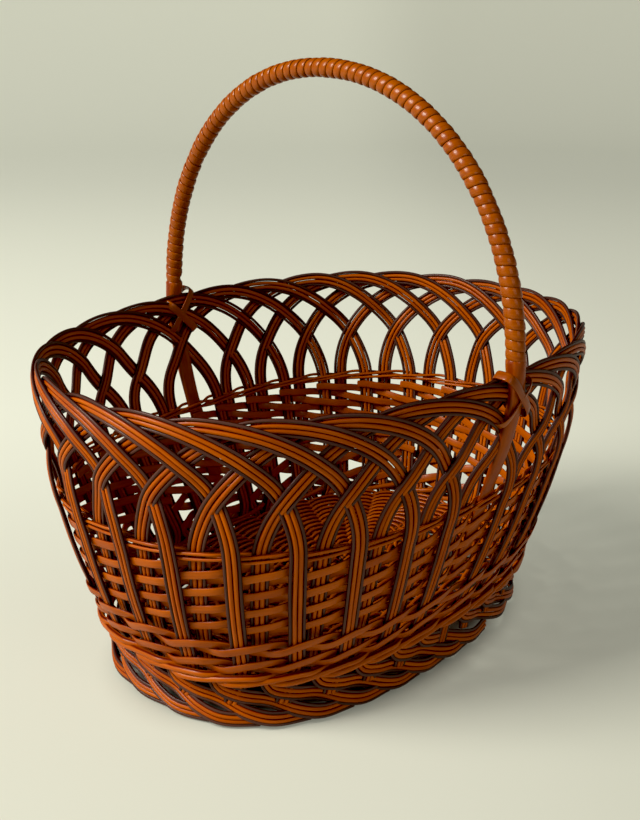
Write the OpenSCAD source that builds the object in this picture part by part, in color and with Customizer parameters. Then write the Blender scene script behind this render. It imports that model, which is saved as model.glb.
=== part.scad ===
// Oval wicker basket with an openwork border, a twisted plaited foot and a fixed hoop handle.
// X runs along the long axis, Y along the short axis, Z up, with the floor at Z = 0.
// A place on the wall is given as [u, z, d]: u counts stake spacings round the oval from the +X end,
// z is the height and d is the distance outwards from the layer of the upright ribs.

/* [Basket] */
// Length of the rib layer at the rim, end to end
rim_length = 411.6; // [340:0.2:500]
// How much narrower than long the rim is, side to side
narrower = 100; // [80:1:130]
// How much narrower than long the foot is, side to side
foot_narrower = 112.6; // [80:0.2:140]
// Height of the top edge of the openwork rim
rim_z = 228.3; // [205:0.5:275]
// How far the wall leans in at each end, from rim to foot
lean = 38.3; // [25:0.1:46]
// Roundness of the flare, where 1 is a straight wall
flare = 1.93; // [1.3:0.01:2.4]
// Squareness of the rim, where 2 is a plain ellipse
squareness = 2.27; // [2:0.01:3]
// Squareness of the foot
foot_squareness = 2.56; // [2:0.01:3]
// How far the foot stands in from the lowest ribs
foot_inset = 0.5; // [0:0.5:6]

/* [Stakes] */
// Number of stakes, an even number
stakes = 28; // [24:2:32]
// Width of one stake, a flat bundle of four rods
stake_w = 12.2; // [8:0.1:13]
// Thickness of a stake
stake_t = 2.8; // [2:0.1:3.4]
// Where the first rib stands, in spacings from the +X end
first_rib = 0.74; // [0:0.01:0.95]
// Spacings that one arch of the openwork spans
span = 4.6; // [4.6:1:4.6]
// How far along the wall a rib leans between the foot and the top of the weave, in spacings
rib_lean = 0.26; // [0:0.01:0.3]
// How far a stub leans in the same height, in spacings
stub_lean = 0.14; // [0:0.01:0.3]
// How far the rising side of an arch is drawn over, in spacings
arch_slant = 0.24; // [0:0.01:0.3]
// How far back along the wall the scallop of a stake is counted from, in spacings
foot_back = 0.67; // [0.6:0.01:0.8]
// Spacings by which a handle foot pushes the stakes before it aside
push_before = 0.45; // [0:0.05:0.5]
// Spacings by which a handle foot pushes the stakes after it aside
push_after = 0.25; // [0:0.05:0.3]
// Gap left between crossing pieces
clearance = 0.2; // [0.1:0.05:0.4]

/* [Lower bands] */
// Height of the foot, up to the middle of the three-rod band that ties it
foot_z = 40; // [36:0.5:48]
// Thickness of a rod of that band
tie_rod = 4.4; // [3:0.1:5.3]
// Width of the two pairs of flat bands above it
wale_w = 6.6; // [5:0.1:8]
// Open height between those two pairs
wale_gap = 2.3; // [1:0.1:4]

/* [Side weave] */
// Outer bands of the side weave, one above another
rows = 4; // [3:1:4]
// Width of a flat band
band_w = 6.2; // [5:0.1:7.5]
// Thickness of a flat band
band_t = 1.5; // [1:0.1:2]
// Open height between one band and the next
band_gap = 0.5; // [0.2:0.1:1]
// Thickness of a rod of the twined top edge
twine_t = 2.4; // [2:0.1:3.4]

/* [Base] */
// Height of the underside of the base
base_z = 33.5; // [28:0.5:36]
// Thickness of a base rod
base_rod = 3.6; // [3:0.1:4]
// Space from one round of the base to the next
base_pitch = 9; // [7:0.5:12]
// Number of base spokes along each side of the middle
base_spokes_n = 7; // [5:1:9]

/* [Handle] */
// Height of the hoop's middle line above the rim
hoop_rise = 178.7; // [145:0.1:213]
// Squareness of the hoop
hoop_squareness = 2.07; // [2:0.01:3]
// Thickness of the bare hoop rod
hoop_rod = 9.4; // [8:0.1:11]
// Thickness of the band wound round the rod
wrap_t = 1.4; // [1:0.1:2]
// Height above the rim at which the winding ends
wrap_end = 7.7; // [4:0.1:15]
// Width of the flat leg below each end of the hoop
leg_w = 12; // [9:0.5:13]
// Width of a lashing band
lash_w = 6; // [4:0.5:7]
// Thickness of a lashing band
lash_t = 1.2; // [0.8:0.1:1.5]

/* [Hidden] */
rib_colour = "#8a4312";
band_colour = "#b0560f";
handle_colour = "#a34e12";
wale_rise = 0.55 * wale_w;
level = band_w + band_gap;
twine_rise = 1.17 * twine_t;
middle_wale_z = foot_z + tie_rod + 0.92 * wale_w;
upper_wale_z = middle_wale_z + 2 * wale_w + wale_gap;
weave_z = upper_wale_z + wale_w / 2 + wale_rise + band_w / 2 + 6.8;
twine_z = weave_z + (2 * rows - 1) * level + band_w / 2 + twine_rise + twine_t / 2;
weave_top = twine_z + twine_rise + twine_t / 2 + 0.4;
leg_end_z = weave_z - 4;
arch_h = rim_z - stake_w / 2 - weave_top;
rib_skin = stake_t / 2 + clearance;
drop_d = rib_skin + band_t + clearance + stake_t / 2 + 0.1;
twine_drop_d = rib_skin + twine_t + clearance + stake_t / 2;
mid_d = twine_drop_d / 2;
ramp = stake_t + clearance;
steps = 720;
u_eps = 0.01;
z_eps = 0.5;
feet = [stakes / 4, 3 * stakes / 4];

function stake_name(i) = str("stake_", i < 9 ? "0" : "", i + 1);
function bands_name(k) = str("side_bands_", k < 9 ? "0" : "", k + 1);
function ease(t) = t * t * (3 - 2 * t);
// A smooth run through keys [[x, y], ...]
function run(x, keys, i = 0) =
    x <= keys[0][0] ? keys[0][1] :
    i >= len(keys) - 1 ? keys[i][1] :
    x > keys[i + 1][0] ? run(x, keys, i + 1) :
    keys[i][1] + (keys[i + 1][1] - keys[i][1])
        * ease((x - keys[i][0]) / (keys[i + 1][0] - keys[i][0]));

// The oval of the rib layer at height z: its half length, what its half width is less by, its squareness
function share(z) = min(1, max(0, (z - foot_z) / (rim_z - foot_z)));
function half_length(z) =
    rim_length / 2 - lean * pow(1 - share(z), flare) - foot_inset * (1 - min(1, z / foot_z));
function less(z) = (foot_narrower + (narrower - foot_narrower) * share(z)) / 2;
function roundness(z) = foot_squareness + (squareness - foot_squareness) * share(z);
function oval(angle, a, b, n) =
    pow(pow(abs(cos(angle)) / a, n) + pow(abs(sin(angle)) / b, n), -1 / n);
// Point of the oval at height z, set out by d
function oval_point(angle, z, d) =
    let (a = half_length(z) + d) oval(angle, a, a - less(z), roundness(z)) * [cos(angle), sin(angle)];
// Length round the oval against angle, so that the stakes stand at equal spacings
arc = [for (i = 0, s = 0; i <= steps;
            s = s + norm(oval_point((i + 1) * 360 / steps, weave_top, 0)
                         - oval_point(i * 360 / steps, weave_top, 0)),
            i = i + 1) [s, i * 360 / steps]];
spacing = arc[steps][0] / stakes;
function turn(u) = (u % stakes + stakes) % stakes;
function wall(p) =
    let (q = oval_point(lookup(turn(p[0]) * spacing, arc), p[1], p[2])) [q[0], q[1], p[1]];
function unit(v) = v / norm(v);
function outward(p) = unit(cross(wall([p[0] + u_eps, p[1], p[2]]) - wall([p[0] - u_eps, p[1], p[2]]),
                                 wall([p[0], p[1] + z_eps, p[2]]) - wall([p[0], p[1] - z_eps, p[2]])));

// The feet of the handle push the stakes beside them apart
function pushed(u) =
    let (before = min([for (f = feet) turn(f - u)]), after = min([for (f = feet) turn(u - f)]))
    u - push_before * exp(-before / 2) * (before < 6 ? 1 : 0)
      + push_after * exp(-after / 0.6) * (after < 3 ? 1 : 0);
function rib_u(i) = pushed(i + first_rib);
function drop_u(i) = pushed(i + span + first_rib);
// Where an upright stands at height z, against its place at the top of the weave
function leant(lean, z) = lean * (max(z, foot_z) - weave_top) / (weave_top - foot_z);

// A solid swept along points, with a flat section w wide and t thick; ups are the surface normals
module sweep(points, ups, w, t, closed = false) {
    n = len(points);
    along = [for (i = [0 : n - 1])
        unit(points[closed ? (i + 1) % n : min(i + 1, n - 1)]
             - points[closed ? (i + n - 1) % n : max(i - 1, 0)])];
    rings = [for (i = [0 : n - 1])
        let (side = unit(cross(along[i], ups[i])), up = cross(side, along[i]))
        for (c = [[-1, -1], [1, -1], [1, 1], [-1, 1]])
            points[i] + side * c[0] * w / 2 + up * c[1] * t / 2];
    last = closed ? n - 1 : n - 2;
    skin = [for (i = [0 : last]) for (k = [0 : 3])
        let (a = 4 * i, b = 4 * ((i + 1) % n), l = (k + 1) % 4)
        each [[a + k, a + l, b + l], [a + k, b + l, b + k]]];
    ends = closed ? [] : [[3, 2, 1], [3, 1, 0],
        [4 * n - 4, 4 * n - 3, 4 * n - 2], [4 * n - 4, 4 * n - 2, 4 * n - 1]];
    polyhedron(points = rings, faces = concat(skin, ends), convexity = 10);
}
module wall_sweep(path, w, t, closed = false) {
    sweep([for (p = path) wall(p)], [for (p = path) outward(p)], w, t, closed);
}

// One stake: a foot scallop, an upright rib, an arch of the openwork, and the stub that comes down again
arch_keys = [[0, 0], [0.25, mid_d + 1.7], [0.75, mid_d - 2.4], [1.05, mid_d - ramp],
    [span - 1.05, mid_d + ramp], [span - 0.75, mid_d + 2.4], [span - 0.25, mid_d - 1.7],
    [span, twine_drop_d]];
function arch(b, l) = [for (phi = [0 : 15 : 180])
    let (s = (1 - cos(phi)) / 2) [b + (l - b) * s + arch_slant * max(0, sin(2 * phi)),
        weave_top + arch_h * sin(phi), run(s * span, arch_keys)]];
scallop_low = stake_w / 2 + 0.8;
scallop_h = foot_z - scallop_low;
scallop_z = [for (k = [[0.3, 0.86], [0.75, 0.62], [1.4, 0.44], [2, 0.21], [2.5, 0.016], [3.3, 0]])
    [k[0], scallop_low + k[1] * scallop_h]];
scallop_d = [[0, 0], [0.5, 3.5], [1.05, 2.1], [1.5, -1], [2.1, 2.7], [2.5, 3.5], [3.3, 0.5]];
function foot(b) = [for (x = [3.3 : -0.3 : 0.6]) [b - foot_back + x, run(x, scallop_z), run(x, scallop_d)]];
function rib(b) = [for (z = [foot_z + 7, weave_z, weave_top - 12]) [b + leant(rib_lean, z), z, 0]];
function drop(l) = [for (p = [[weave_top - 14, drop_d], [upper_wale_z + wale_w, drop_d],
    [foot_z + 2 * tie_rod, drop_d], [0.9 * foot_z, 1.6], [0.44 * foot_z, 1.2]])
    [l + leant(stub_lean, p[0]) - 0.4 * max(0, 1.2 - p[0] / foot_z), p[0], p[1]]];
module stake(i) {
    b = rib_u(i);
    l = drop_u(i);
    color(rib_colour) wall_sweep(concat(foot(b), rib(b), arch(b, l), drop(l)), stake_w, stake_t);
}

// The uprights that the side weave passes: every rib and, as one more, each handle leg
ribs = concat([for (i = [0 : stakes / 4 - 1]) rib_u(i)], [feet[0]],
    [for (i = [stakes / 4 : 3 * stakes / 4 - 1]) rib_u(i)], [feet[1]],
    [for (i = [3 * stakes / 4 : stakes - 1]) rib_u(i)]);
hold = (max(stake_w, leg_w) / 2 + 1.4) / spacing;
// One band of the side weave. It starts inside an upright, goes outside the next one and inside the one
// after, and climbs one level from each upright to the next until it reaches the twined edge.
module side_band(k) {
    depth = rib_skin + band_t / 2;
    wall_sweep([for (j = [0 : 2 * rows]) for (side = [-hold, hold])
        let (z = weave_z + level * min(j - 1 + side, 2 * rows - 1))
        [ribs[(k + j) % len(ribs)] + leant(rib_lean, z) + side, z, j % 2 == 0 ? -depth : depth]],
        band_w, band_t);
}
// A band starts at every upright, and the two that start opposite one another share a node
module side_bands(k) {
    color(band_colour) {
        side_band(k);
        side_band(k + stakes / 2 + 1);
    }
}
function stubs(z) = [for (i = [0 : stakes - 1]) drop_u(i - floor(span)) + leant(stub_lean, z)];
// A strand that goes round in laps, passing the uprights at places; inner and outer are its two depths.
// In every period of uprights, counted from start, it is inside the first few and outside the others.
function strand(places, start, period, behind, laps, z, rise, shift, inner, outer) =
    [for (k = [0 : laps * len(places) - 1]) for (side = [-hold, hold])
        let (x = (k + start) % period)
        [places[k % len(places)] + side, z - rise * sin(360 * (x + side + shift) / period),
         x < behind ? inner : outer]];

module top_twine() {
    depth = rib_skin + twine_t / 2;
    color(band_colour) for (k = [0, 1])
        wall_sweep(strand(ribs, k, 4, 2, 2, twine_z, twine_rise, -0.5, -depth, depth), twine_t, twine_t,
            closed = true);
}
module wale(z, k) {
    color(band_colour) wall_sweep(strand(stubs(z), k, 2, 1, 1, z, wale_rise, 0.1, rib_skin + band_t / 2,
        drop_d + rib_skin + band_t / 2), wale_w, band_t, closed = true);
}
module foot_tie() {
    color(band_colour) wall_sweep(strand(stubs(foot_z), 0, 3, 1, 3, foot_z, 0.64 * tie_rod, 0,
        rib_skin + tie_rod / 2 - 1.6, drop_d + rib_skin + tie_rod / 2), tie_rod, tie_rod,
        closed = true);
}

// The base: spokes across and along the middle, and rounds of rod woven on them
base_gap = stake_t + 2;
base_a = half_length(base_z) - base_gap;
base_b = base_a - less(base_z);
module base_spokes() {
    color(rib_colour) intersection() {
        translate([0, 0, base_z + base_rod / 2]) {
            for (k = [-base_spokes_n : base_spokes_n])
                translate([k * base_a / (base_spokes_n + 1), 0, 0])
                    rotate([90, 0, 0]) cylinder(d = base_rod, h = 2 * base_b, center = true, $fn = 24);
            for (k = [-2 : 2])
                translate([0, k * base_b / 4, 0.2])
                    rotate([0, 90, 0]) cylinder(d = base_rod, h = 2 * base_a, center = true, $fn = 24);
        }
        linear_extrude(base_z + 2 * base_rod) oval_plate(0);
    }
}
module oval_plate(inset) {
    polygon([for (t = [0 : 10 : 350]) oval_point(t, base_z, -base_gap - inset)]);
}
module base_rounds() {
    color(band_colour) translate([0, 0, base_z + base_rod]) linear_extrude(base_rod)
        for (inset = [0 : base_pitch : base_b - base_pitch])
            difference() {
                oval_plate(inset);
                oval_plate(inset + base_pitch - 1.2);
            }
}

// The hoop: a rod bent to an arch, wound with a flat band, over a flat leg at each end
hoop_half = rim_length / 2 - narrower / 2 + mid_d + ramp + 0.6;
function hoop(v) = let (r = oval(v, hoop_half, hoop_rise, hoop_squareness))
    [0, -r * cos(v), rim_z + r * sin(v)];
hoop_start = 1.2;
hoop_points = [for (k = [0 : 30]) hoop(hoop_start + k * (180 - 2 * hoop_start) / 30)];
module tube(r_out, r_in, points, sides = 8) {
    n = len(points);
    rings = [for (i = [0 : n - 1])
        let (along = unit(points[min(i + 1, n - 1)] - points[max(i - 1, 0)]), up = cross([1, 0, 0], along))
        for (r = r_in > 0 ? [r_out, r_in] : [r_out]) for (k = [0 : sides - 1])
            points[i] + r * (cos(k * 360 / sides) * [1, 0, 0] + sin(k * 360 / sides) * up)];
    m = (r_in > 0 ? 2 : 1) * sides;
    skin = [for (i = [0 : n - 2]) for (k = [0 : sides - 1])
        let (l = (k + 1) % sides, a = m * i, b = m * (i + 1))
        each concat([[a + k, b + l, a + l], [a + k, b + k, b + l]], r_in > 0 ?
            [[a + sides + k, a + sides + l, b + sides + l], [a + sides + k, b + sides + l, b + sides + k]] : [])];
    e = m * (n - 1);
    ends = r_in > 0 ? [for (k = [0 : sides - 1]) let (l = (k + 1) % sides)
            each [[k, l, sides + l], [k, sides + l, sides + k],
                  [e + l, e + k, e + sides + k], [e + l, e + sides + k, e + sides + l]]]
        : [[for (k = [0 : sides - 1]) k], [for (k = [sides - 1 : -1 : 0]) e + k]];
    polyhedron(points = rings, faces = concat(skin, ends), convexity = 10);
}
module handle_rod() {
    color(rib_colour) tube(hoop_rod / 2, 0, hoop_points);
}
module handle_wrap() {
    color(handle_colour) tube(hoop_rod / 2 + clearance + wrap_t, hoop_rod / 2 + clearance,
        [for (p = hoop_points) if (p[2] > rim_z + wrap_end) p]);
}
leg_d = mid_d + ramp + stake_t + clearance + 0.1;
leg_keys = [[leg_end_z, 0], [weave_top, 0], [weave_top + 0.21 * arch_h, 1.6],
    [weave_top + 0.43 * arch_h, 5.2], [weave_top + 0.7 * arch_h, leg_d]];
leg_steps = [leg_end_z, weave_top - 16, weave_top, for (k = [0.1 : 0.15 : 1]) weave_top + k * arch_h,
    rim_z - 2];
module handle_leg(f) {
    color(handle_colour) wall_sweep([for (z = leg_steps)
        [f + min(0, leant(rib_lean, z)), z, run(z, leg_keys)]], leg_w, stake_t);
}
lash_z = rim_z - 13.8;
lash_h = 18;
lash_u = 0.34;
module lashing(f) {
    reach = (leg_d + stake_t / 2 - mid_d + ramp + stake_t / 2) / 2 + lash_t;
    middle = (leg_d + mid_d - ramp) / 2;
    color(handle_colour) for (k = [0, 1])
        wall_sweep([for (v = [0 : 15 : 345])
            [f + (k == 0 ? 1 : -1) * lash_u * sin(v), lash_z + lash_h * sin(v),
             middle + (reach + k * (lash_t + clearance)) * cos(v)]], lash_w, lash_t, closed = true);
}

for (i = [0 : stakes - 1])
    stake(i);
for (k = [0 : stakes / 2])
    side_bands(k);
top_twine();
wale(upper_wale_z, 0);  // upper_wale_1
wale(upper_wale_z, 1);  // upper_wale_2
wale(middle_wale_z, 0);  // middle_wale_1
wale(middle_wale_z, 1);  // middle_wale_2
foot_tie();
base_spokes();
base_rounds();
handle_rod();
handle_wrap();
handle_leg(feet[0]);  // handle_leg_left
handle_leg(feet[1]);  // handle_leg_right
lashing(feet[0]);  // lashing_left
lashing(feet[1]);  // lashing_right
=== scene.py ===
"""Oval wicker basket: arched stakes, woven side, plaited foot, woven base and a wound hoop handle.

Lengths are in millimetres until a mesh is made. A place on the wall is (u, z, d): u counts stake
spacings round the oval from the +X end, z is the height, and d is the distance outwards from the
layer in which the upright ribs stand. The sections follow the order in which the basket is made.
"""

import bpy
import numpy as np
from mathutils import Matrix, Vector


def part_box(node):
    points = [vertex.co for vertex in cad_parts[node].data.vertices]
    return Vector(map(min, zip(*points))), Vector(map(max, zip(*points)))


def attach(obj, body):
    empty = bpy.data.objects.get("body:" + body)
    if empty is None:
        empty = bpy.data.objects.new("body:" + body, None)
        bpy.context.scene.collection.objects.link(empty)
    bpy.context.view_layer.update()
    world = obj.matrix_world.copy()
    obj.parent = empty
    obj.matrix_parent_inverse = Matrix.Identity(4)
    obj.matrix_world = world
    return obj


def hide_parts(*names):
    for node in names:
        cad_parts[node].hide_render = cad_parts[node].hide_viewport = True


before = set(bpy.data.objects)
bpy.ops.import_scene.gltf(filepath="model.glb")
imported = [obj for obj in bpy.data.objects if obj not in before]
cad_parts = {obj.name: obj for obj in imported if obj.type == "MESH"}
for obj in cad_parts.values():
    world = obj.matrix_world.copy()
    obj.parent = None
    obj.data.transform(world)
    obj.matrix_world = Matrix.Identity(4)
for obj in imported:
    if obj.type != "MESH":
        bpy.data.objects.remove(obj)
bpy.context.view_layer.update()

# ---------------------------------------------------------------------------------------------
# Base spokes. The base is begun first: thin round cane rods laid in threes, fanned out from a short
# spine to the wall, the middle rod of each three peeled and the outer two with their dark bark on.
# They are held by the weave of the base alone.
# ---------------------------------------------------------------------------------------------
MM = 0.001
stakes = sum(name.startswith("stake_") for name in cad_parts)
rim_length, rim_z = 411.6, 228.3
narrower, foot_narrower = 100.0, 112.6
lean, flare, foot_inset = 38.3, 1.93, 0.5
squareness, foot_squareness = 2.27, 2.56
first_rib, rib_lean = 0.74, 0.26
push_before, push_after = 0.45, 0.25
handle_feet = np.array([stakes / 4, 3 * stakes / 4])


def middle_z(node):
    """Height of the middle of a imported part, in millimetres."""
    low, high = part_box(node)
    return (low.z + high.z) / 2 / MM


foot_z = middle_z("foot_tie")


def oval(angle, a, b, power):
    """Radius of a squared ellipse at a polar angle: (|cos/a|^n + |sin/b|^n)^(-1/n)."""
    return (np.abs(np.cos(angle) / a) ** power + np.abs(np.sin(angle) / b) ** power) ** (-1 / power)


def wall_radius(angle, z, d):
    """Radius of the wall: its half length shrinks below the rim by a power of the depth, the half width
    is less by an amount that grows with the depth, and the oval is squarer at the foot."""
    depth = 1 - np.clip((z - foot_z) / (rim_z - foot_z), 0, 1)
    a = rim_length / 2 - lean * depth ** flare - foot_inset * (1 - np.clip(z / foot_z, 0, 1)) + d
    b = a - (narrower + (foot_narrower - narrower) * depth) / 2
    return oval(angle, a, b, squareness + (foot_squareness - squareness) * depth)


weave_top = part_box("top_twine")[1].z / MM + 0.4
turn_angles = np.linspace(0, 2 * np.pi, 2881)
turn_radii = wall_radius(turn_angles, weave_top, 0)
turn_steps = np.hypot(np.diff(turn_radii * np.cos(turn_angles)),
                      np.diff(turn_radii * np.sin(turn_angles)))
turn_lengths = np.concatenate([[0], np.cumsum(turn_steps)])
spacing = turn_lengths[-1] / stakes


def wall(u, z, d):
    """Point on the wall: u gives the angle by length round the oval, z the size, d is added to it."""
    angle = np.interp(np.mod(u, stakes) * spacing, turn_lengths, turn_angles)
    radius = wall_radius(angle, z, d)
    return np.stack([radius * np.cos(angle), radius * np.sin(angle), z + 0 * radius], -1)


def unit(v):
    """Vectors of length one."""
    return v / np.maximum(np.linalg.norm(v, axis=-1, keepdims=True), 1e-12)


def outward(u, z, d):
    """Normal of the wall: the cross product of its slopes along u and along z."""
    along = wall(u + 0.02, z, d) - wall(u - 0.02, z, d)
    up = wall(u, z + 1, d) - wall(u, z - 1, d)
    return unit(np.cross(along, up))


def pushed(u):
    """The handle's feet push the stakes beside them aside: an exponential fall with the distance, slow
    on the side before a foot and quick on the side after it."""
    before = np.mod(handle_feet - u, stakes).min()
    after = np.mod(u - handle_feet, stakes).min()
    back = push_before * np.exp(-before / 2) * (before < 6)
    return u - back + push_after * np.exp(-after / 0.6) * (after < 3)


def leant(lean, z):
    """Where an upright stands at height z, against its place at the top of the weave: it leans evenly."""
    return lean * (np.maximum(z, foot_z) - weave_top) / (weave_top - foot_z)


rib_places = np.array([pushed(i + first_rib) for i in range(stakes)])


def heading(path, closed):
    """Direction along a path, from each point's two neighbours."""
    if closed:
        return unit(np.roll(path, -1, 0) - np.roll(path, 1, 0))
    return unit(np.gradient(path, axis=0))


def round_section(count):
    """Unit circle; its first point faces inwards, so the half-way one faces out."""
    turn = np.linspace(0, 2 * np.pi, count, endpoint=False)
    return np.stack([np.sin(turn), -np.cos(turn)], 1)


def carry(path, out, half_width, half_thickness, section, closed=False, tone=0.5, finish=0):
    """A section carried along a path: width goes across the path, thickness along its out vectors.

    Open ends are rounded by a smaller row each. Returns one grid: its points, lengths and facts.
    """
    across = unit(np.cross(heading(path, closed), out))
    lift = np.cross(across, heading(path, closed))
    half_width = half_width + np.zeros(len(path))
    half_thickness = half_thickness + np.zeros(len(path))
    section = np.broadcast_to(section, (len(path), *section.shape[-2:]))
    if not closed:
        rows = np.concatenate([[0], np.arange(len(path)), [len(path) - 1]])
        scale = np.where((np.arange(len(rows)) % (len(rows) - 1)) == 0, 0.6, 1.0)
        path, across, lift, section = path[rows], across[rows], lift[rows], section[rows]
        half_width, half_thickness = half_width[rows] * scale, half_thickness[rows] * scale
        path[0] += unit(path[1] - path[2]) * half_thickness[0]
        path[-1] += unit(path[-2] - path[-3]) * half_thickness[-1]
    points = (path[:, None] + across[:, None] * (half_width[:, None] * section[..., 0])[..., None]
              + lift[:, None] * (half_thickness[:, None] * section[..., 1])[..., None])
    ring = np.concatenate([path, path[:1]]) if closed else path
    lengths = np.concatenate([[0], np.cumsum(np.linalg.norm(np.diff(ring, axis=0), axis=1))])
    return {"points": points, "lengths": lengths, "closed": closed, "tone": tone, "finish": finish}


def grid_faces(grid, first):
    """Quads of one grid and fans that close its ends, wound to face out, with their UVs."""
    rows, cols = grid["points"].shape[:2]
    i = np.arange(rows if grid["closed"] else rows - 1)[:, None]
    j = np.arange(cols)[None, :]
    next_i, next_j = (i + 1) % rows, (j + 1) % cols
    quads = np.stack([i * cols + j, next_i * cols + j, next_i * cols + next_j, i * cols + next_j], -1)
    far, turn = grid["lengths"], np.arange(cols + 1) / cols
    near, ahead, left, right = np.broadcast_arrays(far[i], far[i + 1], turn[j], turn[j + 1])
    uv = np.stack([np.stack([near, left], -1), np.stack([ahead, left], -1),
                   np.stack([ahead, right], -1), np.stack([near, right], -1)], 2)
    quads, uv = quads.reshape(-1, 4), uv.reshape(-1, 4, 2)
    tris, tri_uv = np.zeros((0, 3), int), np.zeros((0, 3, 2))
    if not grid["closed"]:
        j = np.arange(1, cols - 1)
        start = np.stack([0 * j, j, j + 1], 1)
        end = np.stack([0 * j, j + 1, j], 1) + (rows - 1) * cols
        tris = np.concatenate([start, end])
        tri_uv = np.zeros((len(tris), 3, 2)) + np.array([0, 0.5])
        tri_uv[len(start):, :, 0] = far[-1]
    flat = grid["points"].reshape(-1, 3)
    a, b, c, d = (flat[quads[:, k]] for k in range(4))
    volume = np.sum(a * np.cross(b, c)) + np.sum(a * np.cross(c, d))
    if volume < 0:
        quads, uv, tris, tri_uv = quads[:, ::-1], uv[:, ::-1], tris[:, ::-1], tri_uv[:, ::-1]
    return quads + first, uv, tris + first, tri_uv


def make_piece(name, grids, finishes, nodes):
    """One mesh object out of grids; it rides on the basket and stands for the CAD nodes."""
    points, quads, uvs, tris, tri_uvs, tones, quad_finish, tri_finish = [], [], [], [], [], [], [], []
    first = 0
    for grid in grids:
        q, uv, t, tri_uv = grid_faces(grid, first)
        points.append(grid["points"].reshape(-1, 3) * MM)
        quads.append(q)
        uvs.append(uv)
        tris.append(t)
        tri_uvs.append(tri_uv)
        tones.append(np.full(len(points[-1]), grid["tone"]))
        quad_finish.append(np.full(len(q), grid["finish"]))
        tri_finish.append(np.full(len(t), grid["finish"]))
        first += len(points[-1])
    points, quads, tris = np.concatenate(points), np.concatenate(quads), np.concatenate(tris)
    mesh = bpy.data.meshes.new(name)
    mesh.vertices.add(len(points))
    mesh.vertices.foreach_set("co", points.ravel())
    mesh.loops.add(4 * len(quads) + 3 * len(tris))
    corners = np.concatenate([quads.ravel(), tris.ravel()])
    mesh.loops.foreach_set("vertex_index", corners.astype(np.int32))
    mesh.polygons.add(len(quads) + len(tris))
    starts = np.concatenate([4 * np.arange(len(quads)), 4 * len(quads) + 3 * np.arange(len(tris))])
    mesh.polygons.foreach_set("loop_start", starts.astype(np.int32))
    mesh.polygons.foreach_set("material_index",
                              np.concatenate(quad_finish + tri_finish).astype(np.int32))
    mesh.update(calc_edges=True)
    layer = mesh.uv_layers.new(name="length_and_turn")
    flat = np.concatenate([uv.reshape(-1, 2) for uv in uvs + tri_uvs])
    layer.data.foreach_set("uv", (flat * [MM * 10, 1]).astype(np.float32).ravel())
    tone = mesh.attributes.new("tone", "FLOAT", "POINT")
    tone.data.foreach_set("value", np.concatenate(tones).astype(np.float32))
    mesh.shade_smooth()
    for finish in finishes:
        mesh.materials.append(finish)
    piece = bpy.data.objects.new(name, mesh)
    bpy.context.scene.collection.objects.link(piece)
    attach(piece, "root")
    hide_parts(*nodes)


class Value:
    """A shader value that Python arithmetic works on; each operator adds a Math node."""

    def __init__(self, tree, socket):
        self.tree, self.socket = tree, socket

    def math(self, operation, *values):
        node = self.tree.nodes.new("ShaderNodeMath")
        node.operation = operation
        for socket, value in zip(node.inputs, values):
            if isinstance(value, Value):
                self.tree.links.new(value.socket, socket)
            else:
                socket.default_value = value
        return Value(self.tree, node.outputs[0])

    def __add__(self, other): return self.math("ADD", self, other)
    def __radd__(self, other): return self.math("ADD", other, self)
    def __sub__(self, other): return self.math("SUBTRACT", self, other)
    def __rsub__(self, other): return self.math("SUBTRACT", other, self)
    def __mul__(self, other): return self.math("MULTIPLY", self, other)
    def __rmul__(self, other): return self.math("MULTIPLY", other, self)
    def __pow__(self, other): return self.math("POWER", self, other)
    def __rpow__(self, other): return self.math("POWER", other, self)
    def __truediv__(self, other): return self.math("DIVIDE", self, other)
    def __rtruediv__(self, other): return self.math("DIVIDE", other, self)
    def sine(self): return self.math("SINE", self)
    def absolute(self): return self.math("ABSOLUTE", self)


class Finish:
    """A new node material, with one method that adds any node."""

    def __init__(self, name):
        self.material = bpy.data.materials.new(name)
        self.material.use_nodes = True
        self.tree = self.material.node_tree
        self.tree.nodes.clear()

    def add(self, kind, settings=None, output=0, **values):
        """Adds a node, sets it, then fills its inputs; the value of one output comes back."""
        node = self.tree.nodes.new("ShaderNode" + kind)
        for key, value in (settings or {}).items():
            setattr(node, key, value)
        for key, value in values.items():
            name = key.replace("_", " ")
            socket = next(s for s in node.inputs if s.name == name and s.enabled)
            if isinstance(value, Value):
                self.tree.links.new(value.socket, socket)
            else:
                socket.default_value = (*value, 1) if socket.type == "RGBA" else value
        return Value(self.tree, node.outputs[output])

    def mix(self, share, first, second):
        """Colour between two colours, by a share from 0 to 1."""
        node = self.tree.nodes.new("ShaderNodeMix")
        node.data_type, node.clamp_factor = "RGBA", True
        for place, value in ((0, share), (6, first), (7, second)):
            if isinstance(value, Value):
                self.tree.links.new(value.socket, node.inputs[place])
            else:
                node.inputs[place].default_value = (*value, 1) if place else value
        return Value(self.tree, node.outputs[2])

    def spread(self, value, low, high):
        """A smooth share: 0 below low and 1 above high."""
        return self.add("MapRange", {"interpolation_type": "SMOOTHSTEP"}, Value=value,
                        From_Min=low, From_Max=high)

    def finish(self, shader):
        out = self.tree.nodes.new("ShaderNodeOutputMaterial")
        self.tree.links.new(shader.socket, out.inputs[0])
        return self.material


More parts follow.
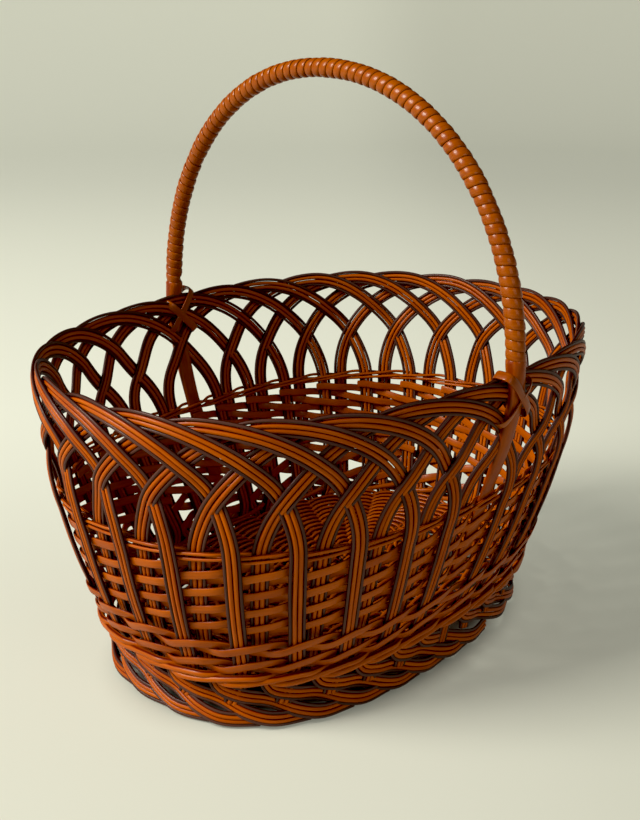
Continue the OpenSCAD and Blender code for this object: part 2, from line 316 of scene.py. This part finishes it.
def cane_finish(name, light, dark, painted_side_shade, side_shade_from, coat, rough):
    """Cane: colour between dark and light by long streaks and each rod's own tone, painted shade at its
    sides.
    """
    f = Finish(name)
    uv = f.add("UVMap", {"uv_map": "length_and_turn"})
    tone = f.add("Attribute", {"attribute_name": "tone", "attribute_type": "GEOMETRY"}, output=2)
    far = f.add("SeparateXYZ", Vector=uv)
    turn = f.add("SeparateXYZ", output=1, Vector=uv)
    place = f.add("CombineXYZ", X=far * 0.9, Y=turn * 3.0, Z=tone * 37.0)
    streaks = f.add("TexNoise", {"noise_dimensions": "3D"}, Vector=place,
                    Scale=6.0, Detail=4.0, Roughness=0.6)
    fine_place = f.add("CombineXYZ", X=far * 8.0, Y=turn * 26.0, Z=tone * 91.0)
    fine = f.add("TexNoise", {"noise_dimensions": "3D"}, Vector=fine_place,
                 Scale=3.0, Detail=3.0, Roughness=0.6)
    patches = f.add("TexNoise", {"noise_dimensions": "3D"}, Vector=f.add("TexCoord", output=3),
                    Scale=38.0, Detail=2.0, Roughness=0.5)
    share = f.spread(streaks * 0.55 + fine * 0.3 + tone * 0.35 + patches * 0.35 - 0.28, 0.22, 0.78)
    # Painted shade: the sides of each rod or band, where it lies against its neighbours, are darkened to a
    # deep red.
    side = (turn * (2 * np.pi)).sine().absolute()
    body = f.mix(share, dark, light)
    colour = f.mix(f.spread(side, side_shade_from, 1.0), body, painted_side_shade)
    roughness = rough + fine * 0.16 - 0.08
    bump = f.add("Bump", Strength=0.22, Distance=0.0004, Height=streaks * 0.5 + fine * 0.5)
    shader = f.add("BsdfPrincipled", Base_Color=colour, Roughness=roughness, Normal=bump,
                   Coat_Weight=coat, Coat_Roughness=0.2, Specular_IOR_Level=0.1)
    return f.finish(shader)


# The darkest colour given to each cane is painted shade along the sides of its rods.
peeled = cane_finish("peeled_cane", light=(0.42, 0.087, 0.0004), dark=(0.28, 0.047, 0.0003),
                     painted_side_shade=(0.12, 0.003, 0.0002), side_shade_from=0.60, coat=0.09, rough=0.5)
bark = cane_finish("dark_bark_cane", light=(0.084, 0.033, 0.022), dark=(0.046, 0.016, 0.011),
                   painted_side_shade=(0.030, 0.003, 0.001), side_shade_from=0.68, coat=0.12, rough=0.55)
shakes = np.random.default_rng(7)
base_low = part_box("base_spokes")[0].z / MM
base_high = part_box("base_rounds")[1].z / MM
base_mid = (base_low + base_high) / 2
base_half_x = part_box("base_rounds")[1].x / MM
base_inset = 3.6
spine_half = 46.0
spoke_d = 2.6
fan = 0.07


def base_point(u, share, z):
    """Point of the base: share 0 is on the spine, 1 is at the wall, straight lines between."""
    rim = wall(u, base_mid, -base_inset)
    x = rim[..., 0] * (share + (1 - share) * spine_half / base_half_x)
    return np.stack([x, rim[..., 1] * share, z + 0 * x], -1)


spokes = []
for u in rib_places + leant(rib_lean, foot_z):
    share = np.linspace(0.02, 1, 24)
    for side in (-1, 0, 1):
        line = base_point(u + side * fan / np.maximum(share, 0.35), share, base_mid)
        out = np.zeros_like(line) + [0, 0, 1]
        spokes.append(carry(line, out, spoke_d / 2, spoke_d / 2, round_section(6),
                            tone=shakes.uniform(0.2, 0.8), finish=int(side != 0)))
make_piece("base_spoke_rods", spokes, [peeled, bark], ["base_spokes"])

# ---------------------------------------------------------------------------------------------
# Base weave. Peeled round cane is woven over one spoke and under the next, round after round from
# the spine to the wall, each round beaten down against the last.
# ---------------------------------------------------------------------------------------------
weaver_d = 3.1
weaver_gap = 0.15
# The darkest colour of this cane is painted shade along the sides of its bands and rods.
flat_cane = cane_finish("flat_cane", light=(0.405, 0.084, 0.0004), dark=(0.26, 0.044, 0.0003),
                        painted_side_shade=(0.09, 0.004, 0.0003), side_shade_from=0.86, coat=0.12, rough=0.45)
spoke_places = np.sort(np.mod(rib_places, stakes))
spoke_places = np.concatenate([spoke_places + stakes * lap for lap in (-1, 0, 1)])
rounds = []
base_half_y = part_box("base_rounds")[1].y / MM
round_count = int(base_half_y / (weaver_d + weaver_gap))
for n in range(1, round_count + 1):
    share = n / round_count
    count = max(60, int(stakes * 5 * (0.4 + share)))
    u = np.linspace(0, stakes, count, endpoint=False)
    phase = np.interp(u, spoke_places, np.arange(-stakes, 2 * stakes))
    z = base_mid + (spoke_d + weaver_d) / 2 * 0.95 * np.tanh(1.8 * np.cos(np.pi * (phase + n)))
    line = base_point(u, share, z)
    out = np.zeros_like(line) + [0, 0, 1]
    rounds.append(carry(line, out, weaver_d / 2, weaver_d / 2, round_section(7), closed=True,
                        tone=shakes.uniform(0.1, 0.9)))
make_piece("base_weave", rounds, [flat_cane], ["base_rounds"])

# ---------------------------------------------------------------------------------------------
# Stakes. Each is one flat bundle of four cane rods laid side by side: a scallop of the foot, a rib
# inside the wall, an arch of the openwork over and under its neighbours, and a stub that comes down
# outside the side weave. The middle rods are peeled and the edge rods keep their dark bark.
# ---------------------------------------------------------------------------------------------
rod_pitches = np.array([-4.5, -1.65, 1.65, 4.5])
rod_sizes = np.array([2.5, 3.3, 3.3, 2.5])
span, stub_lean = 4.6, 0.14
drop_places = np.array([pushed(i + first_rib + span) for i in range(stakes)])
drop_depth, drop_end = 4.8, 18.5
twine_drop_depth = 5.6
mid_depth = twine_drop_depth / 2
ramp_depth = 3.0
arch_slant = 0.24
arch_height = rim_z - 6.1 - weave_top
arch_depths = [(0, 0), (0.25, mid_depth + 1.7), (0.75, mid_depth - 2.4), (1.05, mid_depth - ramp_depth),
               (span - 1.05, mid_depth + ramp_depth), (span - 0.75, mid_depth + 2.4),
               (span - 0.25, mid_depth - 1.7), (span, twine_drop_depth)]
foot_back = 0.67
scallop_low = 6.9
scallop_h = foot_z - scallop_low
scallop_z = [(x, scallop_low + share * scallop_h) for x, share in
             ((0.3, 0.86), (0.75, 0.62), (1.4, 0.44), (2, 0.21), (2.5, 0.016), (3.3, 0))]
scallop_d = [(0, 0), (0.5, 3.5), (1.05, 2.1), (1.5, -1.0), (2.1, 2.7), (2.5, 3.5), (3.3, 0.5)]


def ease(t):
    """Smooth step from 0 to 1: 3t^2 - 2t^3."""
    t = np.clip(t, 0, 1)
    return t * t * (3 - 2 * t)


def run(x, keys):
    """Smooth run through (place, value) keys, flat at each key."""
    xs, ys = np.array(keys, float).T
    k = np.clip(np.searchsorted(xs, x, side="right") - 1, 0, len(xs) - 2)
    return ys[k] + (ys[k + 1] - ys[k]) * ease((x - xs[k]) / (xs[k + 1] - xs[k]))


def glide(x, keys):
    """Moving mean, 0.3 of a spacing each way, of the straight lines through (place, value) keys."""
    xs, ys = np.array(keys, float).T
    return np.mean([np.interp(x + shift, xs, ys) for shift in np.linspace(-0.3, 0.3, 9)], 0)


def relax(path, passes):
    """Rounds an open path: each point moves to the weighted mean of itself and its neighbours."""
    for _ in range(passes):
        path[1:-1] = (path[:-2] + 2 * path[1:-1] + path[2:]) / 4
    return path


def waver(far, size, lengths):
    """Hand-made unevenness along a distance: a sum of sines of these lengths, of random size and start."""
    return sum(shakes.normal(0, size) * np.sin(far / length + shakes.uniform(0, 6.3)) for length in lengths)


def even(path, step):
    """Points at equal distances along a path, and their distances."""
    far = np.concatenate([[0], np.cumsum(np.linalg.norm(np.diff(path[:, :3], axis=0), axis=1))])
    at = np.linspace(0, far[-1], max(4, int(far[-1] / step)))
    return np.stack([np.interp(at, far, column) for column in path.T], 1), at


def stake_route(start, end):
    """Centre line of a stake as (u, z, d): scallop, leaning rib, half an ellipse drawn over a little on
    its rising side, then the drop."""
    x = np.linspace(3.3, 0.6, 60)
    scallop = np.stack([start - foot_back + x, glide(x, scallop_z), run(x, scallop_d)], 1)
    z = np.linspace(foot_z + 8, weave_top - 3, 20)
    rib = np.stack([start + leant(rib_lean, z), z, 0 * z], 1)
    phi = np.linspace(0, np.pi, 90)
    s = (1 - np.cos(phi)) / 2
    drawn = arch_slant * np.maximum(0, np.sin(2 * phi))
    arch = np.stack([start + (end - start) * s + drawn, weave_top + arch_height * np.sin(phi),
                     run(s * span, arch_depths)], 1)
    z = np.linspace(weave_top - 3, drop_end, 40)
    depth = run(-z, [(-weave_top + 2, twine_drop_depth), (-weave_top + 12, drop_depth),
                     (-foot_z - 10, drop_depth), (-foot_z + 4, 1.6), (-19, 1.2)])
    drop = np.stack([end + leant(stub_lean, z) - 0.4 * np.maximum(0, 1.2 - z / foot_z), z, depth], 1)
    return np.concatenate([scallop, rib, arch, drop])


def stake_grids(start, end):
    """Four rods side by side along a stake's centre line, each a little out of true."""
    route = stake_route(start, end)
    points = np.concatenate([wall(*route.T), outward(*route.T)], 1)
    points = relax(even(points, 1.5)[0], 10)
    points, far = even(points, 3.4)
    path, out = points[:, :3], unit(points[:, 3:])
    across = unit(np.cross(heading(path, False), out))
    grids = []
    for k, (offset, rod_d) in enumerate(zip(rod_pitches, rod_sizes)):
        aside = offset + waver(far, 0.07, (9, 17, 31, 60))
        lift = waver(far, 0.07, (9, 17, 31))
        line = path + across * aside[:, None] + out * lift[:, None]
        swell = 1 + shakes.normal(0, 0.03) + 0.02 * np.sin(far / 23 + shakes.uniform(0, 6.3))
        radius = rod_d / 2 * swell
        grids.append(carry(line, out, radius, radius * 0.97, round_section(8),
                           tone=shakes.uniform(0.1, 0.9), finish=int(k in (0, 3))))
    return grids


for i in range(stakes):
    make_piece(f"stake_rods_{i + 1:02d}", stake_grids(rib_places[i], drop_places[i]),
               [peeled, bark], [f"stake_{i + 1:02d}"])

# ---------------------------------------------------------------------------------------------
# Foot tie. Three thick peeled rods are woven together round the foot, each over two stubs and
# behind the third, and bind the scallops, the ribs and the stubs into one ring.
# ---------------------------------------------------------------------------------------------
tie_d = 4.4
skin = 1.6


def strand(places, start, period, behind, laps, z, rise, shift, inner, outer, pinch=0.0):
    """A closed strand that goes round in laps and passes the uprights at places.

    Its phase grows by one at each upright. In every period it is inside the first few uprights and
    outside the others, its depth eases from one upright's to the next, and its height is a sine of
    the phase, pinched where it is inside. Returns points and normals.
    """
    count = len(places)
    u = np.linspace(0, laps * stakes, int(laps * stakes * spacing / 2), endpoint=False)
    places = np.sort(np.mod(places, stakes))
    knots = np.concatenate([places + stakes * lap for lap in range(-1, laps + 1)])
    phase = np.interp(u, knots, np.arange(-count, (laps + 1) * count)) + start
    cell = np.floor(phase)
    depths = np.where(np.mod([cell, cell + 1], period) < behind - 0.5, inner, outer)
    d = depths[0] + (depths[1] - depths[0]) * ease((phase - cell - 0.2) / 0.6)
    open_share = 1 - pinch * (outer - d) / (outer - inner)
    height = z - rise * np.sin(2 * np.pi * (phase + shift) / period) * open_share
    way_round = 2 * np.pi * u / (laps * stakes)
    height = height + waver(way_round, 0.15, [1 / cycles for cycles in (3, 7, 13, 23)])
    return wall(u, height, d), outward(u, height, d)


path, out = strand(drop_places + leant(stub_lean, foot_z), 0, 3, 1, 3, foot_z, 0.64 * tie_d, 0,
                   tie_d / 2, drop_depth + skin + tie_d / 2)
tie = carry(path, out, tie_d / 2, tie_d / 2, round_section(10), closed=True, tone=0.6)
make_piece("foot_tie_rods", [tie], [flat_cane], ["foot_tie"])

# ---------------------------------------------------------------------------------------------
# Lower bands. Two pairs of long flat cane bands bind the stubs to the wall: each band goes over one
# stub and behind the next, and the two of a pair change places between them.
# ---------------------------------------------------------------------------------------------
wale_w, band_t = 6.6, 1.5


def flat_section(count, power=3.2):
    """Unit rounded bar, a squared circle, from the inner face round to the outer one and back."""
    turn = np.linspace(0, 2 * np.pi, count, endpoint=False)
    x, y = np.sin(turn), -np.cos(turn)
    return np.stack([np.sign(x) * np.abs(x) ** (2 / power), np.sign(y) * np.abs(y) ** (2 / power)], 1)


for name in ("middle_wale", "upper_wale"):
    for k in (1, 2):
        z = middle_z(f"{name}_{k}")
        path, out = strand(drop_places + leant(stub_lean, z), k - 1, 2, 1, 1, z, 0.55 * wale_w, 0.1,
                           skin + band_t / 2, drop_depth + skin + band_t / 2)
        band = carry(path, out, wale_w / 2, band_t / 2, flat_section(12), closed=True,
                     tone=shakes.uniform(0.3, 0.8))
        make_piece(f"{name}_band_{k}", [band], [flat_cane], [f"{name}_{k}"])

# ---------------------------------------------------------------------------------------------
# Side weave. A flat cane band starts at every upright and climbs one level at each upright that it
# passes, inside one and outside the next, until it ends under the twined edge. The uprights are the
# ribs and, as two more, the legs of the handle.
# ---------------------------------------------------------------------------------------------
uprights = np.sort(np.mod(list(rib_places) + list(handle_feet), stakes))
uprights = np.concatenate([uprights - stakes, uprights, uprights + stakes])
band_w, level, rows = 6.2, 6.7, 4
band_tail = 0.19
twine_d = 2.4
twine_rise = 1.17 * twine_d
twine_z = middle_z("top_twine")
weave_z = twine_z - twine_rise - twine_d / 2 - band_w / 2 - (2 * rows - 1) * level


def side_weaver(k):
    """A band from upright k on: its height grows evenly, its depth eases to and fro."""
    phase = np.linspace(-band_tail, 2 * rows + band_tail, 190)
    u = np.interp(phase + k, np.arange(len(uprights)) - stakes - 2, uprights)
    cell = np.floor(phase)
    to_outside = np.mod(cell, 2) < 0.5
    share = ease((phase - cell - 0.22) / 0.56)
    d = (skin + band_t / 2) * np.where(to_outside, 2 * share - 1, 1 - 2 * share)
    z = weave_z + level * np.minimum(phase - 1, 2 * rows - 1) + waver(phase, 0.16, (1 / 0.9, 1 / 2.3))
    u = u + leant(rib_lean, z)
    half_width = band_w / 2 * (1 + shakes.normal(0, 0.02))
    return carry(wall(u, z, d), outward(u, z, d), half_width, band_t / 2, flat_section(12),
                 tone=shakes.uniform(0.15, 0.85))


half_way = (stakes + 2) // 2
for k in range(half_way):
    make_piece(f"side_weave_{k + 1:02d}", [side_weaver(k), side_weaver(k + half_way)],
               [flat_cane], [f"side_bands_{k + 1:02d}"])

# ---------------------------------------------------------------------------------------------
# Twined top edge. Four thin peeled rods lock the tops of the side bands: at every upright two of
# them pass outside and two inside, and each changes sides after every second upright.
# ---------------------------------------------------------------------------------------------
twine = []
for k in (0, 1):
    path, out = strand(uprights[stakes + 2:2 * stakes + 4], k, 4, 2, 2, twine_z, twine_rise, -0.5,
                       -(skin + twine_d / 2), skin + twine_d / 2, pinch=0.35)
    twine.append(carry(path, out, twine_d / 2, twine_d / 2, round_section(8), closed=True,
                       tone=shakes.uniform(0.3, 0.8)))
make_piece("twined_edge", twine, [flat_cane], ["top_twine"])

# ---------------------------------------------------------------------------------------------
# Hoop rod. One thick peeled rod is bent to an arch over the middle of the basket, and its ends stand
# on the flat legs at the rim.
# ---------------------------------------------------------------------------------------------
hoop_rod, hoop_squareness = 9.4, 2.07
hoop_depth = mid_depth + ramp_depth + 0.6
hoop_half = (rim_length - narrower) / 2 + hoop_depth
hoop_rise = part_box("handle_rod")[1].z / MM - hoop_rod / 2 - rim_z
hoop_angles = np.linspace(np.radians(1.2), np.pi - np.radians(1.2), 900)
hoop_radii = oval(hoop_angles, hoop_half, hoop_rise, hoop_squareness)
hoop_line = np.stack([0 * hoop_angles, -hoop_radii * np.cos(hoop_angles),
                      rim_z + hoop_radii * np.sin(hoop_angles)], 1)
hoop_line, hoop_far = even(hoop_line, 1.0)
hoop_length = hoop_far[-1]


def hoop_at(far):
    """Point, heading and inward normal of the hoop at a distance along it."""
    hoop_heading = heading(hoop_line, False)
    point = np.stack([np.interp(far, hoop_far, hoop_line[:, k]) for k in range(3)], -1)
    along = unit(np.stack([np.interp(far, hoop_far, hoop_heading[:, k]) for k in range(3)], -1))
    side = np.zeros_like(along) + [1, 0, 0]
    return point, along, side, np.cross(side, along)


rod_line = hoop_line[::4]
rod_radius = 4.6
rod_side = np.zeros_like(rod_line) + [1, 0, 0]
rod = carry(rod_line, rod_side, rod_radius, rod_radius, round_section(12), tone=0.4)
make_piece("hoop_rod", [rod], [peeled], ["handle_rod"])

# ---------------------------------------------------------------------------------------------
# Handle winding. One long flat cane band is wound tightly round the hoop rod from foot to foot, each
# turn lapping the last by a hair, so that the handle is ribbed by the domed turns.
# ---------------------------------------------------------------------------------------------
# The darkest colour of this cane is painted shade along the edges of its bands, between the turns.
handle_cane = cane_finish("handle_cane", light=(0.32, 0.074, 0.0008), dark=(0.19, 0.030, 0.0003),
                          painted_side_shade=(0.12, 0.010, 0.0003), side_shade_from=0.90, coat=0.25, rough=0.4)
wrap_pitch, wrap_w, wrap_t = 6.5, 7.4, 1.3
wrap_ends, wrap_inner, wrap_outer, wrap_dome = 7.0, 4.75, 6.5, 0.4
turns = (hoop_length - 2 * wrap_ends) / wrap_pitch
steps_per_turn = 26
turn = np.linspace(0, turns, int(turns * steps_per_turn))
centre = wrap_ends + turn * wrap_pitch + waver(turn, 0.21, (1.7, 3.1, 7.3))
section = flat_section(12, 2.6)
lap = section[:, 0] * wrap_w / 2
dome = wrap_dome * (1 - section[:, 0] ** 2 - section[:, 0])
far = centre[:, None] + lap[None, :]
point, along, side, inward = hoop_at(np.clip(far, 0, hoop_length))
phi = (2 * np.pi * turn)[:, None, None]
swell = 1 + 0.02 * np.interp(turn, np.arange(int(turns) + 2), shakes.normal(0, 1, int(turns) + 2))
radius = (wrap_inner + wrap_t / 2 + dome + section[:, 1] * wrap_t / 2)[None, :] * swell[:, None]
wrap_points = point + radius[..., None] * (side * np.cos(phi) + inward * np.sin(phi))
wrap_lengths = turn * 2 * np.pi * wrap_outer
wrap_grid = {"points": wrap_points, "lengths": wrap_lengths, "closed": False, "tone": 0.55, "finish": 0}
make_piece("handle_winding", [wrap_grid], [handle_cane], ["handle_wrap"])

# ---------------------------------------------------------------------------------------------
# Handle legs. At the rim each end of the handle turns from a round rod into a flat strip, thicker
# where it stands free. It leans in outside the arches and goes into the side weave as one more upright.
# ---------------------------------------------------------------------------------------------
leg_depth = mid_depth + ramp_depth + 3.1
leg_w, leg_round = 13.2, 6.5
# The darkest colour of this cane is painted shade along the sides of the strip.
leg_cane = cane_finish("leg_cane", light=(0.33, 0.072, 0.0008), dark=(0.20, 0.028, 0.0003),
                       painted_side_shade=(0.17, 0.022, 0.0003), side_shade_from=0.9, coat=0.2, rough=0.45)
leg_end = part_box("handle_leg_left")[0].z / MM
leg_top = rim_z + 8.6
round_leg, flat_leg = flat_section(16, 2.0)[None], flat_section(16)[None]
for side_name, foot in zip(("left", "right"), handle_feet):
    z = np.linspace(leg_end, leg_top, 90)
    flat = ease((leg_top - z) / 24)
    lean_in = leg_depth * np.clip((z - weave_top + 2) / (0.88 * arch_height), 0, 1)
    depth = hoop_depth * (1 - flat) + lean_in * flat
    section = round_leg * (1 - flat)[:, None, None] + flat_leg * flat[:, None, None]
    u = foot + np.minimum(0, leant(rib_lean, z))
    thin = 1.3 + 2.0 * ease((z - weave_top) / 40)
    strip = carry(wall(u, z, depth), outward(u, z, depth), leg_w / 2,
                  leg_round * (1 - flat) + thin * flat, section, tone=0.45)
    make_piece(f"handle_leg_{side_name}_strip", [strip], [leg_cane],
               [f"handle_leg_{side_name}"])

# ---------------------------------------------------------------------------------------------
# Lashings. Two flat cane bands are wound crosswise over each leg and through the openwork, and tie
# the leg to the rim. They lie close on the leg, the rim and the inside of the arches.
# ---------------------------------------------------------------------------------------------
lash_w, lash_t = 6.2, 1.2
lash_z = rim_z - 14
for side_name, foot in zip(("left", "right"), handle_feet):
    loops = []
    phi = np.linspace(0, 2 * np.pi, 72, endpoint=False)
    climb = np.sign(np.sin(phi)) * np.abs(np.sin(phi)) ** 0.6
    reach_out = np.sign(np.cos(phi)) * np.abs(np.cos(phi)) ** 0.5
    for k, way in enumerate((-1, 1)):
        u = foot + way * 0.30 * climb
        z = lash_z - 5 * k + (15.6 - 3 * k) * climb
        inside = mid_depth - ramp_depth - 2.4 - k
        outside = leg_depth + 3.9 + 1.1 * (1 - k) + 0.8 * np.maximum(climb, 0)
        depth = (outside + inside) / 2 + (outside - inside) / 2 * reach_out
        path = wall(u, z, depth)
        middle = wall(foot + 0 * phi, lash_z + 0 * phi, (leg_depth + mid_depth) / 2 + 0 * phi)
        loops.append(carry(path, unit(path - middle), lash_w / 2, lash_t / 2, flat_section(10), closed=True,
                           tone=0.5 + 0.2 * way))
    make_piece(f"lashing_{side_name}_bands", loops, [handle_cane],
               [f"lashing_{side_name}"])

# ---------------------------------------------------------------------------------------------
# Studio floor. A pale matt sheet that runs flat under the basket and curves up far behind it, with a
# wall on its edge that only the camera sees. It glows a little as painted light, less towards the
# camera, less to the right as a painted shadow, and not at all under the foot, where the sheet is
# also painted dark as a painted contact shadow.
# ---------------------------------------------------------------------------------------------
floor_finish = Finish("studio_floor")
floor_x = floor_finish.add("SeparateXYZ", Vector=floor_finish.add("TexCoord", output=3))
floor_y = floor_finish.add("SeparateXYZ", output=1, Vector=floor_finish.add("TexCoord", output=3))
sight_x, sight_y = 0.735, 0.678
away = floor_x * sight_x + floor_y * sight_y
rightward = floor_x * sight_y - floor_y * sight_x
from_foot = ((floor_x / 0.172) ** 2.0 + (floor_y / 0.118) ** 2.0) ** 0.5
# Painted light: the floor glows, more far off, less to the right as a painted shadow beside the basket, and
# not at all under the foot as a painted contact shadow.
glow_with_painted_shadow = (0.265 + 0.165 * floor_finish.spread(away, -0.1, 0.5)
        - 0.085 * floor_finish.spread(rightward, 0.0, 0.5)
        - 0.045 * floor_finish.spread(away, 1.0, 2.5)) * floor_finish.spread(from_foot, 0.85, 1.15)
# Painted contact shadow: the sheet is painted dark under the foot.
floor_colour_with_painted_shadow = floor_finish.mix(floor_finish.spread(from_foot, 0.75, 1.05),
                                (0.13, 0.10, 0.07), (0.40, 0.40, 0.335))
floor_finish.finish(floor_finish.add("BsdfPrincipled", Base_Color=floor_colour_with_painted_shadow, Roughness=0.8,
                                     Specular_IOR_Level=0.1, Emission_Strength=1.0,
                                     Emission_Color=floor_finish.mix(glow_with_painted_shadow, (0, 0, 0), (1.0, 1.02, 0.83))))
flat_radius, cove_radius, wall_top = 3.2, 0.9, 3.5
flat_radii = np.geomspace(0.2, flat_radius, 12)
cove = np.linspace(0.15, 1.5, 10)
radii = np.concatenate([flat_radii, flat_radius + cove_radius * np.sin(cove)])
heights = np.concatenate([0 * flat_radii, cove_radius * (1 - np.cos(cove))])
sides = 64
directions = [(np.cos(a), np.sin(a)) for a in np.linspace(0, 2 * np.pi, sides, endpoint=False)]


def ring_faces(i):
    """Quads between ring i and the next."""
    near, far = sides * i, sides * (i + 1)
    return [(near + j, far + j, far + (j + 1) % sides, near + (j + 1) % sides) for j in range(sides)]


floor_mesh = bpy.data.meshes.new("studio_floor")
floor_points = [(r * x, r * y, h) for r, h in zip(radii, heights) for x, y in directions]
floor_faces = [tuple(range(sides))] + [face for i in range(len(radii) - 1) for face in ring_faces(i)]
floor_mesh.from_pydata(floor_points, [], floor_faces)
floor_mesh.shade_smooth()
floor_mesh.materials.append(floor_finish.material)
floor = bpy.data.objects.new("studio_floor", floor_mesh)
bpy.context.scene.collection.objects.link(floor)
wall_mesh = bpy.data.meshes.new("studio_wall")
wall_points = [(radii[-1] * x, radii[-1] * y, h) for h in (heights[-1], wall_top) for x, y in directions]
wall_mesh.from_pydata(wall_points, [], ring_faces(0))
wall_mesh.shade_smooth()
wall_mesh.materials.append(floor_finish.material)
studio_wall = bpy.data.objects.new("studio_wall", wall_mesh)
studio_wall.visible_diffuse = studio_wall.visible_glossy = studio_wall.visible_shadow = False
bpy.context.scene.collection.objects.link(studio_wall)

# ---------------------------------------------------------------------------------------------
# Lights, air and view. One large soft lamp high on the left, a weak one low on the near side, a
# faint pale sky, and the plain view curve with its darkest tones cut off.
# ---------------------------------------------------------------------------------------------
from mathutils import Vector


def aim(thing, place, target):
    """Puts a light or camera at a place, looking at a target."""
    thing.location = place
    thing.rotation_euler = (Vector(target) - Vector(place)).to_track_quat("-Z", "Y").to_euler()


def soft_light(name, place, target, size, power, colour):
    """A square area light."""
    lamp = bpy.data.lights.new(name, "AREA")
    lamp.size, lamp.energy, lamp.color = size, power, colour
    holder = bpy.data.objects.new(name, lamp)
    bpy.context.scene.collection.objects.link(holder)
    aim(holder, place, target)


soft_light("key", (-2.22, 1.08, 2.1), (0, 0, 0.15), 1.3, 165, (1.0, 0.98, 0.93))
soft_light("fill", (-0.5, -2.4, 1.3), (0, 0, 0.15), 1.4, 12, (1.0, 0.98, 0.94))
world = bpy.data.worlds.new("studio")
world.use_nodes = True
world.node_tree.nodes["Background"].inputs["Color"].default_value = (0.80, 0.82, 0.70, 1)
world.node_tree.nodes["Background"].inputs["Strength"].default_value = 0.03
bpy.context.scene.world = world
view = bpy.context.scene.view_settings
view.view_transform = "Standard"
view.use_curve_mapping = True
view.curve_mapping.black_level = (0.006, 0.006, 0.006)
view.curve_mapping.update()

# ---------------------------------------------------------------------------------------------
# Camera. It stands off the left end of the basket, a little higher than the handle, and looks down
# on the basket along its length.
# ---------------------------------------------------------------------------------------------
camera = bpy.data.cameras.new("camera")
camera.lens = 51.85
camera.clip_start, camera.clip_end = 0.01, 50
camera_holder = bpy.data.objects.new("camera", camera)
bpy.context.scene.collection.objects.link(camera_holder)
azimuth, elevation = np.radians(-47.32), np.radians(18.95)
back = np.array([np.sin(azimuth) * np.cos(elevation), -np.cos(azimuth) * np.cos(elevation),
                 np.sin(elevation)])
eye = np.array([-0.60172, -0.55121, 0.44660])
aim(camera_holder, eye, eye - back)
bpy.context.scene.camera = camera_holder
